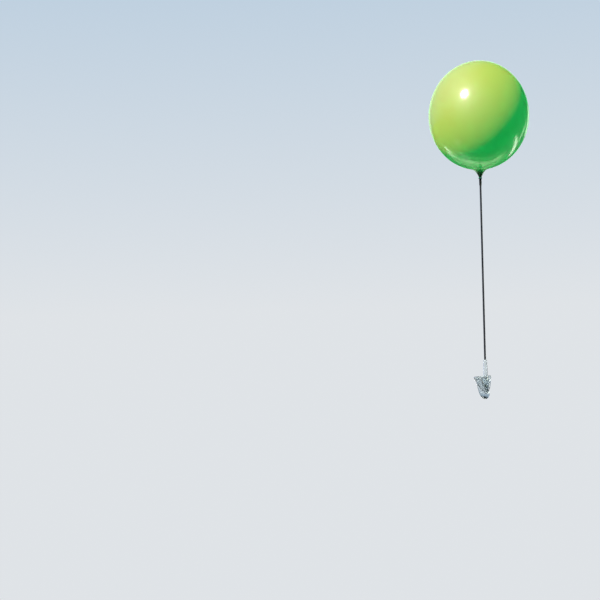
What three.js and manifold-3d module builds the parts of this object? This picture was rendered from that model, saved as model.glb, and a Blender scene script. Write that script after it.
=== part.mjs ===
// Car window balloon display: a vinyl balloon on a hollow rod, held by a clear clip with an open slot.
//
// Millimetres, +Z up. The origin is on the underside of the clip's bridge, in the middle, where the clip
// bears. +X runs along the slot and +Y points from the outer plate to the inner tongue. The slot leans
// to +Y at its top, so the clip is built upright in a group of its own that leans with it.

import * as THREE from "three";
import { mergeVertices } from "three/addons/utils/BufferGeometryUtils.js";
import Manifold from "manifold-3d";

const wasm = await Manifold();
wasm.setup();

// Fits
const GAP = 0.3; // between pieces that touch or are moulded together on the real clip
const SLOT_LEAN = THREE.MathUtils.degToRad(16); // of the slot from upright
const SLOT_WIDTH = 6; // between the outer plate and the inner tongue

// Clip, in its leaning group: y is across the slot and z runs up along it
const PLATE_THICKNESS = 2.5;
const PLATE_HALF_WIDTH = 48;
const PLATE_WAIST_HALF = 27; // where the long sides end and the point begins
const PLATE_WAIST_Z = -42;
const PLATE_TIP_Z = -65;
const PLATE_SHOULDER_Z = -3;
const RIM_WIDTH = 2.2;
const RIM_HEIGHT = 1.4;
const RELIEF_DEPTH = 0.4; // of the relief in the slot's upper outer corner
const RELIEF_Z = -2.5;
const BRIDGE_THICKNESS = 3;
const TONGUE_THICKNESS = 2.4;
const TONGUE_HALF_WIDTH = 30;
const TONGUE_TIP_Z = -81;

// Foot of the post, on the outer plate: a wedge that is deep under the post and shallow at its tip
const FOOT_HALF_WIDTH = 19;
const FOOT_TOP_Z = -4;
const FOOT_SHOULDER_Z = -27;
const FOOT_TIP_Z = -60;
const FOOT_DEPTH = 14;
const FOOT_TIP_DEPTH = 3.5;
const FOOT_FLOOR = 2.5;
const FOOT_WALL = 2.2;

// Screw through the foot
const SCREW_Z = -34;
const SCREW_SHANK_R = 2;
const SCREW_HEAD_R = 3.8;
const SCREW_HEAD_HEIGHT = 2.6;

// Post and rod, upright
const ROD_AXIS_Y = -19; // on the outer plate's side of the origin
const POST_BASE_R = 8.4;
const POST_TOP_R = 6.4;
const POST_TOP_Z = 65;
const POST_BOTTOM_Z = -16;
const SPIGOT_R = 1.75;
const SPIGOT_LENGTH = 45;
const ROD_R = 3.5;
const ROD_BORE_R = 2.1;
const ROD_TOP_Z = 727;

// Ferrule and valve plug
const FERRULE_BOTTOM_Z = 707;
const FERRULE_TOP_Z = 731;
const FERRULE_R = 4.7;
const FERRULE_BORE_R = 3.75;
const STUB_R = 1.8; // of the ferrule's stub in the plug
const STUB_TOP_Z = 746;
const COLLAR_R = 7;
const COLLAR_TOP_Z = 736.5;
const STOPPER_R = 4;
const STOPPER_TOP_Z = 752;

// Balloon
const BALLOON_R = 183.5;
const BALLOON_MID_Z = 962; // of its widest ring
const BALLOON_UP = 202.5; // from the widest ring to the top
const BALLOON_DOWN = 197; // from the widest ring to the bottom, were it closed there
const BALLOON_WALL = 0.5;
const NECK_R = 5.6;
const NECK_BORE_R = 4.4;
const NECK_FUNNEL = [
  // radius, height
  [NECK_R, 740],
  [7.4, 743.5],
  [9.6, 747.5],
  [13.2, 754],
  [19, 761],
  [24.5, 765.3],
];
const NECK_BLEND_R = 30; // where the funnel runs out into the balloon's underside

// Facets
const BALLOON_SIDES = 48;
const BALLOON_ROWS_UP = 11;
const BALLOON_ROWS_DOWN = 10;
const ROUND_SIDES = 24;
const CORNER_STEPS = 3;

// Materials

const clear = new THREE.MeshStandardMaterial({
  color: 0xdfe6ea,
  roughness: 0.12,
  metalness: 0,
  transparent: true,
  opacity: 0.5,
});
const vinyl = new THREE.MeshStandardMaterial({ color: 0x5fc24a, roughness: 0.15, metalness: 0 });
const fibreglass = new THREE.MeshStandardMaterial({ color: 0x12151a, roughness: 0.35, metalness: 0 });
const blackPlastic = new THREE.MeshStandardMaterial({ color: 0x0c0d0f, roughness: 0.45, metalness: 0 });
const palePlastic = new THREE.MeshStandardMaterial({ color: 0xc9cfc4, roughness: 0.35, metalness: 0 });
const steel = new THREE.MeshStandardMaterial({ color: 0xc4c8cc, roughness: 0.3, metalness: 1 });

// Solids

/** The closed solid of a geometry, for cutting and joining. */
function solidOf(geometry) {
  const bare = geometry.clone();
  bare.deleteAttribute("normal");
  bare.deleteAttribute("uv");
  const merged = mergeVertices(bare, 1e-4);
  const corners = merged.index.array;
  const kept = [];
  for (let i = 0; i < corners.length; i += 3) {
    const [a, b, c] = corners.slice(i, i + 3);
    if (a !== b && b !== c && c !== a) {
      kept.push(a, b, c);
    }
  }
  const mesh = new wasm.Mesh({
    numProp: 3,
    vertProperties: Float32Array.from(merged.attributes.position.array),
    triVerts: Uint32Array.from(kept),
  });
  return new wasm.Manifold(mesh);
}

/** The geometry of a cut or joined solid. */
function geometryOf(solid) {
  const mesh = solid.getMesh();
  const geometry = new THREE.BufferGeometry();
  geometry.setAttribute("position", new THREE.BufferAttribute(mesh.vertProperties, 3));
  geometry.setIndex(new THREE.BufferAttribute(mesh.triVerts, 1));
  geometry.computeVertexNormals();
  return geometry;
}

/** A solid of revolution about Z from [radius, height] points, which go up on the outside. */
function turned(profile, sides) {
  const points = profile.map(([radius, height]) => new THREE.Vector2(radius, height));
  return new THREE.LatheGeometry(points, sides).rotateX(Math.PI / 2);
}

/** An outline in x and z from [x, z, cut] corners, each rounded from `cut` before it to `cut` past it. */
function roundedOutline(corners) {
  const shape = new THREE.Shape();
  corners.forEach(([x, z, cut], i) => {
    const corner = new THREE.Vector2(x, z);
    const before = new THREE.Vector2(...corners.at(i - 1));
    const after = new THREE.Vector2(...corners[(i + 1) % corners.length]);
    const start = before.sub(corner).setLength(cut).add(corner);
    const end = after.sub(corner).setLength(cut).add(corner);
    if (i === 0) {
      shape.moveTo(start.x, start.y);
    } else {
      shape.lineTo(start.x, start.y);
    }
    shape.quadraticCurveTo(corner.x, corner.y, end.x, end.y);
  });
  shape.closePath();
  return shape;
}

/** A flat piece with that outline in x and z, from yLow to yHigh. */
function slab(outline, yLow, yHigh) {
  const settings = { depth: yHigh - yLow, bevelEnabled: false, curveSegments: CORNER_STEPS };
  return new THREE.ExtrudeGeometry(outline, settings).rotateX(Math.PI / 2).translate(0, yHigh, 0);
}

/** A box between two values on each axis. */
function block([x0, x1], [y0, y1], [z0, z1]) {
  const box = new THREE.BoxGeometry(x1 - x0, y1 - y0, z1 - z0);
  return box.translate((x0 + x1) / 2, (y0 + y1) / 2, (z0 + z1) / 2);
}

/** A round pin along Y. */
function crossPin(radius, yLow, yHigh, z) {
  const pin = new THREE.CylinderGeometry(radius, radius, yHigh - yLow, ROUND_SIDES);
  return pin.translate(0, (yLow + yHigh) / 2, z);
}

// Places across the slot, in the clip's group
const plateBackY = -SLOT_WIDTH / 2;
const plateFrontY = plateBackY - PLATE_THICKNESS;
const tongueFaceY = SLOT_WIDTH / 2;
const footBackY = plateFrontY - GAP;
const footFloorY = footBackY - FOOT_FLOOR;
const footRimY = footBackY - FOOT_DEPTH;
const screwHoleR = SCREW_SHANK_R + GAP;

// Clip

/** The shield's outline, drawn in by `inset` from its edge. */
function shieldOutline(inset) {
  const top = BRIDGE_THICKNESS + GAP;
  const half = PLATE_HALF_WIDTH - inset;
  const waist = PLATE_WAIST_HALF - inset;
  return roundedOutline([
    [-half, top - inset, 2],
    [half, top - inset, 2],
    [half, PLATE_SHOULDER_Z, 2],
    [waist, PLATE_WAIST_Z + inset / 2, 6],
    [0, PLATE_TIP_Z + inset, 7],
    [-waist, PLATE_WAIST_Z + inset / 2, 6],
    [-half, PLATE_SHOULDER_Z, 2],
  ]);
}

function outerPlate() {
  const plate = solidOf(slab(shieldOutline(0), plateFrontY, plateBackY));
  const rimBlank = solidOf(slab(shieldOutline(0), plateFrontY - RIM_HEIGHT, plateFrontY + 1));
  const rimInside = solidOf(slab(shieldOutline(RIM_WIDTH), plateFrontY - RIM_HEIGHT - 1, plateFrontY + 2));
  const footSpace = solidOf(slab(footOutline(-GAP), plateFrontY - RIM_HEIGHT - 1, plateFrontY));
  const relief = solidOf(
    block([-50, 50], [plateBackY - RELIEF_DEPTH, plateBackY + 1], [RELIEF_Z, BRIDGE_THICKNESS + 1]),
  );
  const hole = solidOf(crossPin(screwHoleR, plateFrontY - 1, plateBackY + 1, SCREW_Z));
  const rim = rimBlank.subtract(rimInside).subtract(footSpace);
  return geometryOf(plate.add(rim).subtract(relief).subtract(hole));
}

function bridge() {
  const yLow = plateBackY - RELIEF_DEPTH + GAP;
  return block([-TONGUE_HALF_WIDTH, TONGUE_HALF_WIDTH], [yLow, tongueFaceY - GAP], [0, BRIDGE_THICKNESS]);
}

function innerTongue() {
  const top = BRIDGE_THICKNESS + GAP;
  const outline = new THREE.Shape();
  const roundZ = TONGUE_TIP_Z + TONGUE_HALF_WIDTH;
  outline.moveTo(TONGUE_HALF_WIDTH, top);
  outline.lineTo(-TONGUE_HALF_WIDTH, top);
  outline.absarc(0, roundZ, TONGUE_HALF_WIDTH, Math.PI, 2 * Math.PI);
  outline.closePath();
  const settings = { depth: TONGUE_THICKNESS, bevelEnabled: false, curveSegments: ROUND_SIDES / 2 };
  const blank = new THREE.ExtrudeGeometry(outline, settings);
  return blank.rotateX(Math.PI / 2).translate(0, tongueFaceY + TONGUE_THICKNESS, 0);
}

/** The foot's outline: straight sides, then a point, drawn in by `inset`. */
function footOutline(inset) {
  const half = FOOT_HALF_WIDTH - inset;
  return roundedOutline([
    [-half, FOOT_TOP_Z - inset, 1.5],
    [half, FOOT_TOP_Z - inset, 1.5],
    [half, FOOT_SHOULDER_Z + inset / 3, 3],
    [0, FOOT_TIP_Z + 2 * inset, 3],
    [-half, FOOT_SHOULDER_Z + inset / 3, 3],
  ]);
}

/** Turns an upright piece at the rod's axis into the clip's leaning group. */
function leaned(geometry) {
  return geometry.translate(0, ROD_AXIS_Y, 0).rotateX(SLOT_LEAN);
}

function rodPost() {
  const shaft = turned(
    [
      [0, POST_BOTTOM_Z],
      [POST_BASE_R - 1.5, POST_BOTTOM_Z],
      [POST_BASE_R, POST_BOTTOM_Z + 1.5],
      [POST_BASE_R, 0],
      [POST_TOP_R, POST_TOP_Z - 0.8],
      [POST_TOP_R - 0.8, POST_TOP_Z],
      [SPIGOT_R, POST_TOP_Z],
      [SPIGOT_R, POST_TOP_Z + SPIGOT_LENGTH - 1],
      [SPIGOT_R - 0.8, POST_TOP_Z + SPIGOT_LENGTH],
      [0, POST_TOP_Z + SPIGOT_LENGTH],
    ],
    ROUND_SIDES,
  );
  const blank = solidOf(slab(footOutline(0), footRimY, footBackY));
  const wedge = Math.atan((FOOT_DEPTH - FOOT_TIP_DEPTH) / (FOOT_TOP_Z - FOOT_TIP_Z));
  const front = solidOf(
    block([-40, 40], [-40, 0], [-120, 40]).rotateX(wedge).translate(0, footRimY, FOOT_TOP_Z),
  );
  const dish = blank.subtract(front);
  const hollow = solidOf(slab(footOutline(FOOT_WALL), footRimY - 1, footFloorY));
  const behind = solidOf(block([-40, 40], [footBackY, footBackY + 30], [-80, 80]));
  const hole = solidOf(crossPin(screwHoleR, footFloorY - 1, footBackY + 1, SCREW_Z));
  const foot = dish.subtract(hollow).subtract(hole);
  return geometryOf(foot.add(solidOf(leaned(shaft)).subtract(behind)));
}

function postScrew() {
  const seat = -(footFloorY - GAP);
  const profile = [
    [0, -plateBackY + GAP],
    [SCREW_SHANK_R, -plateBackY + GAP],
    [SCREW_SHANK_R, seat],
    [SCREW_HEAD_R, seat],
    [SCREW_HEAD_R, seat + SCREW_HEAD_HEIGHT / 2],
    [SCREW_HEAD_R * 0.75, seat + SCREW_HEAD_HEIGHT * 0.9],
    [0, seat + SCREW_HEAD_HEIGHT],
  ];
  return turned(profile, ROUND_SIDES).rotateX(Math.PI / 2).translate(0, 0, SCREW_Z);
}

// Rod

function rodTube() {
  const bottom = POST_TOP_Z + GAP;
  return turned(
    [
      [ROD_BORE_R, bottom],
      [ROD_R, bottom],
      [ROD_R, ROD_TOP_Z],
      [ROD_BORE_R, ROD_TOP_Z],
      [ROD_BORE_R, bottom],
    ],
    ROUND_SIDES,
  );
}

// Balloon

function ferrule() {
  return turned(
    [
      [0, ROD_TOP_Z + GAP],
      [FERRULE_BORE_R, ROD_TOP_Z + GAP],
      [FERRULE_BORE_R, FERRULE_BOTTOM_Z],
      [FERRULE_R, FERRULE_BOTTOM_Z],
      [FERRULE_R, FERRULE_TOP_Z],
      [STUB_R, FERRULE_TOP_Z],
      [STUB_R, STUB_TOP_Z],
      [0, STUB_TOP_Z],
    ],
    ROUND_SIDES,
  );
}

function valvePlug() {
  const bottom = FERRULE_TOP_Z + GAP;
  const boreR = STUB_R + GAP;
  const round = 1.2;
  return turned(
    [
      [0, STUB_TOP_Z + GAP],
      [boreR, STUB_TOP_Z + GAP],
      [boreR, bottom],
      [COLLAR_R - round, bottom],
      [COLLAR_R, bottom + round],
      [COLLAR_R, COLLAR_TOP_Z - round],
      [COLLAR_R - round, COLLAR_TOP_Z],
      [STOPPER_R, COLLAR_TOP_Z],
      [STOPPER_R, STOPPER_TOP_Z],
      [0, STOPPER_TOP_Z],
    ],
    ROUND_SIDES,
  );
}

/** The balloon's rounded surface from the neck's funnel to the top, `inset` inside the outer one. */
function envelopeRows(inset) {
  const radius = BALLOON_R - inset;
  const blendAngle = Math.acos(NECK_BLEND_R / BALLOON_R);
  const rows = [];
  for (let i = 0; i <= BALLOON_ROWS_DOWN; i += 1) {
    const angle = blendAngle * (1 - i / BALLOON_ROWS_DOWN);
    rows.push([radius * Math.cos(angle), BALLOON_MID_Z - (BALLOON_DOWN - inset) * Math.sin(angle)]);
  }
  for (let i = 1; i < BALLOON_ROWS_UP; i += 1) {
    const angle = (Math.PI / 2) * (i / BALLOON_ROWS_UP);
    rows.push([radius * Math.cos(angle), BALLOON_MID_Z + (BALLOON_UP - inset) * Math.sin(angle)]);
  }
  rows.push([0, BALLOON_MID_Z + BALLOON_UP - inset]);
  return rows;
}

function balloon() {
  const mouth = COLLAR_TOP_Z + GAP;
  const outside = turned(
    [[0, mouth], [NECK_R, mouth], ...NECK_FUNNEL, ...envelopeRows(0)],
    BALLOON_SIDES,
  );
  const funnelInside = NECK_FUNNEL.map(([radius, height]) => [
    Math.max(radius - 2 * BALLOON_WALL, NECK_BORE_R),
    height,
  ]);
  const inside = turned(
    [[0, mouth - 1], [NECK_BORE_R, mouth - 1], ...funnelInside, ...envelopeRows(BALLOON_WALL)],
    BALLOON_SIDES,
  );
  return geometryOf(solidOf(outside).subtract(solidOf(inside)));
}

// Assembly

function piece(name, geometry, material) {
  const mesh = new THREE.Mesh(geometry, material);
  mesh.name = name;
  return mesh;
}

const clip = new THREE.Group();
clip.rotation.x = -SLOT_LEAN;
clip.add(
  piece("clip_outer_plate", outerPlate(), clear),
  piece("clip_bridge", bridge(), clear),
  piece("clip_inner_tongue", innerTongue(), clear),
  piece("rod_post", rodPost(), clear),
  piece("post_screw", postScrew(), steel),
);

const upright = new THREE.Group();
upright.position.y = ROD_AXIS_Y;
upright.add(
  piece("rod", rodTube(), fibreglass),
  piece("ferrule", ferrule(), blackPlastic),
  piece("valve_plug", valvePlug(), palePlastic),
  piece("balloon", balloon(), vinyl),
);

const display = new THREE.Group();
display.add(clip, upright);

export default display;
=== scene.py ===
"""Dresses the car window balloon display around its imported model. Metres, +Z up.

The origin is under the middle of the clip's bridge, where the clip bears. +X runs along its slot
and +Y points from its outer plate to its inner tongue. The clip is modelled upright and then
leaned over.
"""

import logging
import math
from collections.abc import Callable, Iterator, Sequence
from contextlib import contextmanager
from dataclasses import dataclass
from enum import Enum

import bmesh
import bpy
import numpy as np
from mathutils import Matrix, Vector


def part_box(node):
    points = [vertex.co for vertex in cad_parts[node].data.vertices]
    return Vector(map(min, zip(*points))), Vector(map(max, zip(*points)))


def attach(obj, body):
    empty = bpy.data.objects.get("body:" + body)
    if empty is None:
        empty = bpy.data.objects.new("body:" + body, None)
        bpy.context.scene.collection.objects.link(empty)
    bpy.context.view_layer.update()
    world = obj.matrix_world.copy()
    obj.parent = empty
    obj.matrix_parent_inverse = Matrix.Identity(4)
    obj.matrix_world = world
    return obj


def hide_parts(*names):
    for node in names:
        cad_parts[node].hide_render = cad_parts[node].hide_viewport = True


log = logging.getLogger("balloon_display")

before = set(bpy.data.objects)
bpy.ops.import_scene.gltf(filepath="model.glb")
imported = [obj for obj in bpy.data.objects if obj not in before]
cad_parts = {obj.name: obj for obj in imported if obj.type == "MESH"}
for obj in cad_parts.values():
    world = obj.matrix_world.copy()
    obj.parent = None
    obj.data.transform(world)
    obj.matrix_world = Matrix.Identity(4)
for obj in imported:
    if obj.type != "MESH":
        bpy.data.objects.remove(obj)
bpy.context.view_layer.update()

MM = 0.001
SLOT_LEAN = math.radians(16)
GAP = 0.3 * MM
TOUCH = 0.01 * MM
MERGED = TOUCH / 100
FACES_FRONT = -0.9
ROUND_SIDES = 48
ROD_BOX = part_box("rod")
ROD_AXIS = Vector(((ROD_BOX[0].x + ROD_BOX[1].x) / 2, (ROD_BOX[0].y + ROD_BOX[1].y) / 2, 0.0))

Node = bpy.types.Node
NodeTree = bpy.types.NodeTree
Socket = bpy.types.NodeSocket
Material = bpy.types.Material
Object = bpy.types.Object
Place = tuple[float, float, float]
Colour = tuple[float, float, float]
Ring = tuple[float, float]
Rings = tuple[Ring, ...]
Span = tuple[float, float]
Waves = tuple[tuple[float, int, float], ...]
Stops = tuple[tuple[float, Colour], ...]
Inputs = dict[str | int, object]


class Body(Enum):
    """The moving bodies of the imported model."""

    CLIP = "clip"
    ROD = "rod"
    BALLOON = "balloon"


class Part(Enum):
    """What an edit-mode selection is made of."""

    VERTS = "VERT"
    EDGES = "EDGE"
    FACES = "FACE"


class Carve(Enum):
    """What one solid does to another."""

    CUT = "DIFFERENCE"
    JOIN = "UNION"


class Fade(Enum):
    """How a value goes from one end to the other."""

    SOFT = "SMOOTHSTEP"
    EVEN = "LINEAR"


# Modelling


def deselect_all() -> None:
    """Leaves no object selected."""
    bpy.ops.object.select_all(action="DESELECT")


def activate(piece: Object) -> None:
    """Selects one object alone and makes it the active one.

    Args:
        piece: The object.
    """
    deselect_all()
    piece.select_set(True)
    bpy.context.view_layer.objects.active = piece


def settle(piece: Object) -> None:
    """Applies an object's place, turn and scale to its mesh."""
    activate(piece)
    bpy.ops.object.transform_apply(location=True, rotation=True, scale=True)


def take_new(name: str) -> Object:
    """Names and settles the object that was added last.

    Args:
        name: Its name.

    Returns:
        The object.
    """
    piece = bpy.context.object
    piece.name = name
    settle(piece)
    return piece


@contextmanager
def editing(piece: Object, part: Part) -> Iterator[None]:
    """Edit mode on one piece, with nothing selected at its start.

    Args:
        piece: The object to edit.
        part: What is selected in this edit.
    """
    activate(piece)
    bpy.ops.object.mode_set(mode="EDIT")
    bpy.ops.mesh.select_mode(type=part.value)
    bpy.ops.mesh.select_all(action="DESELECT")
    yield
    bpy.ops.object.mode_set(mode="OBJECT")


def pick(piece: Object, part: Part, test: Callable[..., bool]) -> None:
    """Selects the vertices, edges or faces that pass a test, and nothing else.

    Args:
        piece: The object in edit mode.
        part: Which of the three.
        test: Says whether one of them is wanted.
    """
    mesh = bmesh.from_edit_mesh(piece.data)
    for item in getattr(mesh, part.name.lower()):
        item.select_set(test(item))
    if part is Part.VERTS:
        mesh.select_flush(True)
    bmesh.update_edit_mesh(piece.data)


def block(name: str, low: Place, high: Place) -> Object:
    """A box between two corners, as the start of a piece or as a cutter.

    Args:
        name: The object's name.
        low: The lowest corner.
        high: The highest corner.

    Returns:
        The new object.
    """
    deselect_all()
    bpy.ops.mesh.primitive_cube_add(size=1, location=(Vector(low) + Vector(high)) / 2)
    bpy.context.object.scale = Vector(high) - Vector(low)
    return take_new(name)


def cut_away(piece: Object, at: Place, outward: Place) -> None:
    """Cuts a piece along a plane and closes the cut.

    Args:
        piece: The object.
        at: A place on the plane.
        outward: Points away from what stays.
    """
    with editing(piece, Part.FACES):
        bpy.ops.mesh.select_all(action="SELECT")
        bpy.ops.mesh.bisect(plane_co=at, plane_no=outward, use_fill=True, clear_outer=True)


def round_corners(
    piece: Object,
    radius: float,
    segments: int,
    wanted: Callable[[Vector], bool] = lambda at: True,
) -> None:
    """Rounds the corners of a flat piece, as seen along Y.

    Args:
        piece: The object.
        radius: The rounding's radius.
        segments: Steps across it.
        wanted: Says whether the corner at a place is rounded.
    """

    def stands_there(edge: bmesh.types.BMEdge) -> bool:
        """Whether an edge runs along Y at a wanted corner."""
        first, second = (vert.co for vert in edge.verts)
        return math.hypot(first.x - second.x, first.z - second.z) < TOUCH and wanted(first)

    with editing(piece, Part.EDGES):
        pick(piece, Part.EDGES, stands_there)
        bpy.ops.mesh.bevel(offset=radius, segments=segments, affect="EDGES")


def inset_front(piece: Object, margin: float) -> None:
    """Insets a flat piece's front in edit mode, and leaves the inner face selected."""
    pick(piece, Part.FACES, lambda face: face.normal.y < FACES_FRONT)
    bpy.ops.mesh.inset(thickness=margin, depth=0)


def on_axis(height: float) -> Vector:
    """The place on the rod's axis at a height."""
    return ROD_AXIS + Vector((0, 0, height))


def extrude_rings(last: Ring, rings: Sequence[Ring], cap: bool) -> None:
    """Extrudes the selected ring of edges through others on the rod's axis, with the faces out.

    Args:
        last: Radius and height of the selected ring.
        rings: Radius and height of each new one.
        cap: Whether the last one is closed with a face.
    """
    radius, height = last
    for next_radius, next_height in rings:
        step = (0, 0, next_height - height)
        bpy.ops.mesh.extrude_edges_move(TRANSFORM_OT_translate={"value": step})
        ratio = next_radius / radius
        centre = on_axis(next_height)
        bpy.ops.transform.resize(value=(ratio, ratio, 1), center_override=centre)
        radius, height = next_radius, next_height
    if cap:
        bpy.ops.mesh.edge_face_add()
    bpy.ops.mesh.select_all(action="SELECT")
    bpy.ops.mesh.remove_doubles(threshold=MERGED)
    bpy.ops.mesh.normals_make_consistent(inside=False)


def turn(name: str, profile: list[Ring], closed: bool = False) -> Object:
    """A round piece on the rod's axis, extruded ring by ring along its profile.

    Args:
        name: The object's name.
        profile: Radius and height of each ring.
        closed: True for a tube, whose last ring joins its first. Otherwise both ends are capped.

    Returns:
        The new object, with its faces out.
    """
    radius, height = profile[0]
    fill = "NOTHING" if closed else "NGON"
    deselect_all()
    bpy.ops.mesh.primitive_circle_add(
        vertices=ROUND_SIDES, radius=radius, fill_type=fill, location=on_axis(height)
    )
    piece = take_new(name)
    with editing(piece, Part.EDGES):
        bpy.ops.mesh.select_all(action="SELECT")
        extrude_rings(profile[0], profile[1:] + profile[:1] * closed, cap=not closed)
    return piece


def rings_mm(*sizes: float) -> Rings:
    """Rings from each one's radius and height in turn, in millimetres."""
    return tuple((radius * MM, height * MM) for radius, height in zip(sizes[::2], sizes[1::2]))


def rings_near(radius: float, height: float, offsets: Rings) -> list[Ring]:
    """Rings told by how far they lie out from one radius and up from one height."""
    return [(radius + out, height + up) for out, up in offsets]


def apply_modifier(piece: Object, kind: str, **settings: object) -> None:
    """Changes a piece's mesh by a modifier.

    Args:
        piece: The object.
        kind: The modifier's type name.
        **settings: Its properties.
    """
    activate(piece)
    modifier = piece.modifiers.new(kind.lower(), kind)
    for name, value in settings.items():
        setattr(modifier, name, value)
    bpy.ops.object.modifier_apply(modifier=modifier.name)


def carve(piece: Object, other: Object, how: Carve) -> None:
    """Cuts a piece with another one or joins them, and deletes the other one."""
    apply_modifier(piece, "BOOLEAN", operation=how.value, object=other, solver="EXACT")
    bpy.data.objects.remove(other, do_unlink=True)


def smooth(piece: Object, degrees: float) -> None:
    """Shades a piece smooth, except at edges sharper than an angle."""
    activate(piece)
    bpy.ops.object.shade_smooth_by_angle(angle=math.radians(degrees))


def soften(piece: Object, width: float, degrees: float = 35.0) -> None:
    """Rounds a piece's sharp edges and shades it smooth.

    Args:
        piece: The object.
        width: The rounding's width.
        degrees: Edges sharper than this angle are rounded.
    """
    sharp = {"limit_method": "ANGLE", "angle_limit": math.radians(degrees)}
    apply_modifier(piece, "BEVEL", width=width, segments=2, harden_normals=True, **sharp)
    smooth(piece, degrees)


def lean(piece: Object, angle: float = -SLOT_LEAN) -> None:
    """Leans a piece of the clip about the line along which the clip bears."""
    piece.rotation_euler = (angle, 0, 0)
    settle(piece)


# Finishes


@dataclass(frozen=True)
class NodeBuilder:
    """Adds and joins the nodes of one material, world or group."""

    tree: NodeTree

    def feed(self, node: Node, inputs: Inputs) -> None:
        """Links outputs to a node's inputs, or sets fixed values there.

        Args:
            node: The node.
            inputs: An output, a number, a vector or a colour for each input.
        """
        for name, value in inputs.items():
            socket = node.inputs[name]
            if isinstance(value, Socket):
                self.tree.links.new(value, socket)
            elif socket.type == "RGBA":
                socket.default_value = (*value, 1)
            else:
                socket.default_value = value

    def add(self, kind: str, inputs: Inputs | None = None, **settings: object) -> Node:
        """Adds a node.

        Args:
            kind: The node's type name.
            inputs: What its inputs get.
            **settings: Properties of the node itself.

        Returns:
            The new node.
        """
        node = self.tree.nodes.new(kind)
        for name, value in settings.items():
            setattr(node, name, value)
        self.feed(node, inputs or {})
        return node

    def maths(self, operation: str, first: object, second: object = 0.0) -> Socket:
        """Works out one number from two sockets or numbers, or from the first alone."""
        return self.add("ShaderNodeMath", {0: first, 1: second}, operation=operation).outputs[0]

    def dot(self, vector: Socket, way: Place) -> Socket:
        """How far a place or direction lies along another direction."""
        node = self.add("ShaderNodeVectorMath", {0: vector, 1: way}, operation="DOT_PRODUCT")
        return node.outputs["Value"]

    def place(self, kind: str = "Object") -> Socket:
        """Texture coordinates of one kind."""
        return self.add("ShaderNodeTexCoord").outputs[kind]

    def height(self, vector: Socket) -> Socket:
        """The upward part of a place or direction."""
        return self.add("ShaderNodeSeparateXYZ", {"Vector": vector}).outputs["Z"]

    def noise(
        self, vector: Socket, scale: object, detail: object = 2.0, rough: float = 0.5
    ) -> Socket:
        """Soft random variation from 0 to 1."""
        inputs = {"Vector": vector, "Scale": scale, "Detail": detail, "Roughness": rough}
        return self.add("ShaderNodeTexNoise", inputs).outputs["Fac"]

    def map_range(self, value: Socket, *ends: float, fade: Fade = Fade.SOFT) -> Socket:
        """Goes from 0 at the first end to 1 at the second, or from the third end to the fourth.

        Args:
            value: What is compared with the first two ends.
            *ends: Two ends or four.
            fade: How it goes between them.

        Returns:
            The new value.
        """
        inputs = dict(zip(("Value", "From Min", "From Max", "To Min", "To Max"), (value, *ends)))
        node = self.add("ShaderNodeMapRange", inputs, interpolation_type=fade.value)
        return node.outputs["Result"]

    def ramp(self, factor: Socket, stops: Stops) -> Socket:
        """A colour that changes along a ramp.

        Args:
            factor: How far along.
            stops: Where each colour stands, and the colour.

        Returns:
            The colour.
        """
        node = self.add("ShaderNodeValToRGB", {"Fac": factor})
        marks = node.color_ramp.elements
        for mark, (at, colour) in zip(marks, (stops[0], stops[-1])):
            mark.position = at
            mark.color = (*colour, 1)
        for at, colour in stops[1:-1]:
            marks.new(at).color = (*colour, 1)
        return node.outputs["Color"]

    def blend(self, factor: Socket, first: object, second: object) -> Socket:
        """Mixes two colours.

        Args:
            factor: 0 for the first colour and 1 for the second.
            first: A colour or a colour's socket.
            second: A colour or a colour's socket.

        Returns:
            The mixed colour.
        """
        node = self.add("ShaderNodeMix", {"Factor": factor}, data_type="RGBA")
        inlets = [at for at, socket in enumerate(node.inputs) if socket.type == "RGBA"]
        self.feed(node, dict(zip(inlets, (first, second))))
        return next(socket for socket in node.outputs if socket.type == "RGBA")

    def blend_shaders(self, factor: object, first: Socket, second: Socket) -> Socket:
        """Mixes two shaders, by 0 for the first and 1 for the second."""
        inputs = {"Fac": factor, 1: first, 2: second}
        return self.add("ShaderNodeMixShader", inputs).outputs["Shader"]

    def by_ray(self, others: Socket, gloss: Socket, camera: Socket) -> Socket:
        """Chooses a shader by the kind of ray that meets it.

        Args:
            others: What the rays of light meet.
            gloss: What mirror rays meet.
            camera: What the camera's own rays meet, straight or through clear pieces.

        Returns:
            The chosen shader.
        """
        path = self.add("ShaderNodeLightPath").outputs
        seen = self.maths("MAXIMUM", path["Is Camera Ray"], path["Is Transmission Ray"])
        unseen = self.blend_shaders(path["Is Glossy Ray"], others, gloss)
        return self.blend_shaders(seen, unseen, camera)

    def background(self, colour: object, strength: object = 1.0) -> Socket:
        """A background of one colour, or of a colour's socket."""
        inputs = {"Color": colour, "Strength": strength}
        return self.add("ShaderNodeBackground", inputs).outputs["Background"]

    def sweep(self, stops: Stops, strength: float = 1.0) -> Socket:
        """A background whose colour changes with the sine of the height above the horizon."""
        colour = self.ramp(self.height(self.place("Generated")), stops)
        return self.background(colour, strength)

    def bump(self, height: Socket, depth: float) -> Socket:
        """A normal from a height of 0 to 1 that stands for a depth in metres."""
        inputs = {"Strength": 1.0, "Distance": depth, "Height": height}
        return self.add("ShaderNodeBump", inputs).outputs["Normal"]

    def mottle(self, scale: float, detail: float = 3.0) -> Socket:
        """The mask of the mottle group."""
        inputs = {"Scale": scale, "Detail": detail}
        return self.add("ShaderNodeGroup", inputs, node_tree=mottle_group()).outputs["Mask"]


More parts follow.
